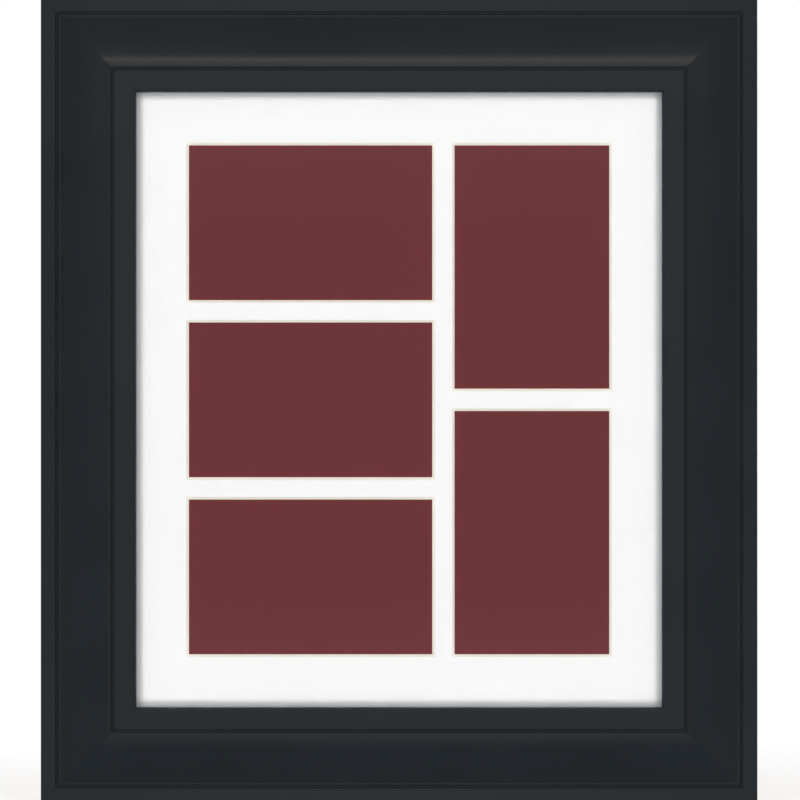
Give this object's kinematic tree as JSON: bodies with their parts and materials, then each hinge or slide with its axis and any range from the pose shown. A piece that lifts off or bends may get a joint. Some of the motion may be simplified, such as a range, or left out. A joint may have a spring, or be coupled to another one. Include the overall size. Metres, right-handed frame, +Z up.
{
  "type": "matted picture frame",
  "caption": "Black moulded collage frame: mitred rails, glass, white bevelled mat with lying and standing windows, plain photo cards, turn-button back and sawtooth hangers.",
  "frame": {"origin": "middle notch of the top hanger, brought out to the wall plane: the wall plane is Y = 0 and a wall nail carries the frame there", "axes": "+Z up, +X to the right seen from the front, the front faces -Y and the wall side +Y"},
  "size_m": [0.4076, 0.019, 0.4584],
  "materials": {
    "black_moulding": "satin black paint on wood",
    "clear_glass": "clear float glass",
    "white_paper": "smooth matte white mat face",
    "cream_core": "matte cream cut core",
    "maroon_card": "matte maroon card, bare",
    "linen_tape": "matte gummed tape",
    "hardboard": "smooth-faced brown hardboard",
    "spring_steel": "bright strip steel",
    "zinc_steel": "zinc-plated steel",
    "brass_plate": "brass-plated steel strip"
  },
  "bodies": {
    "frame": {"top_rail": "black_moulding", "right_rail": "black_moulding", "bottom_rail": "black_moulding", "left_rail": "black_moulding", "corner_v_nails": "spring_steel", "glass_pane": "clear_glass", "mat_face_paper": "white_paper", "mat_core": "cream_core", "photo_card_left_top": "maroon_card", "photo_card_left_middle": "maroon_card", "photo_card_left_bottom": "maroon_card", "photo_card_right_top": "maroon_card", "photo_card_right_bottom": "maroon_card", "photo_tapes": "linen_tape", "backing_board": "hardboard", "turn_button_screws": "zinc_steel", "top_hanger": "brass_plate", "side_hanger": "brass_plate", "hanger_nails": "brass_plate"},
    "turn_button_top_left": {"turn_button_top_left": "zinc_steel"},
    "turn_button_top_right": {"turn_button_top_right": "zinc_steel"},
    "turn_button_right_upper": {"turn_button_right_upper": "zinc_steel"},
    "turn_button_right_lower": {"turn_button_right_lower": "zinc_steel"},
    "turn_button_bottom_right": {"turn_button_bottom_right": "zinc_steel"},
    "turn_button_bottom_left": {"turn_button_bottom_left": "zinc_steel"},
    "turn_button_left_lower": {"turn_button_left_lower": "zinc_steel"},
    "turn_button_left_upper": {"turn_button_left_upper": "zinc_steel"}
  },
  "joints": [
    {"name": "turn_top_left", "type": "hinge", "parent": "frame", "child": "turn_button_top_left", "pos_m": [-0.07764, -0.0043, -0.0084], "axis": [0, 1, 0], "continuous": true},
    {"name": "turn_top_right", "type": "hinge", "parent": "frame", "child": "turn_button_top_right", "pos_m": [0.07764, -0.0043, -0.0084], "axis": [0, 1, 0], "continuous": true},
    {"name": "turn_right_upper", "type": "hinge", "parent": "frame", "child": "turn_button_right_upper", "pos_m": [0.162, -0.0043, -0.10496], "axis": [0, 1, 0], "continuous": true},
    {"name": "turn_right_lower", "type": "hinge", "parent": "frame", "child": "turn_button_right_lower", "pos_m": [0.162, -0.0043, -0.28664], "axis": [0, 1, 0], "continuous": true},
    {"name": "turn_bottom_right", "type": "hinge", "parent": "frame", "child": "turn_button_bottom_right", "pos_m": [0.07764, -0.0043, -0.3832], "axis": [0, 1, 0], "continuous": true},
    {"name": "turn_bottom_left", "type": "hinge", "parent": "frame", "child": "turn_button_bottom_left", "pos_m": [-0.07764, -0.0043, -0.3832], "axis": [0, 1, 0], "continuous": true},
    {"name": "turn_left_lower", "type": "hinge", "parent": "frame", "child": "turn_button_left_lower", "pos_m": [-0.162, -0.0043, -0.28664], "axis": [0, 1, 0], "continuous": true},
    {"name": "turn_left_upper", "type": "hinge", "parent": "frame", "child": "turn_button_left_upper", "pos_m": [-0.162, -0.0043, -0.10496], "axis": [0, 1, 0], "continuous": true}
  ]
}
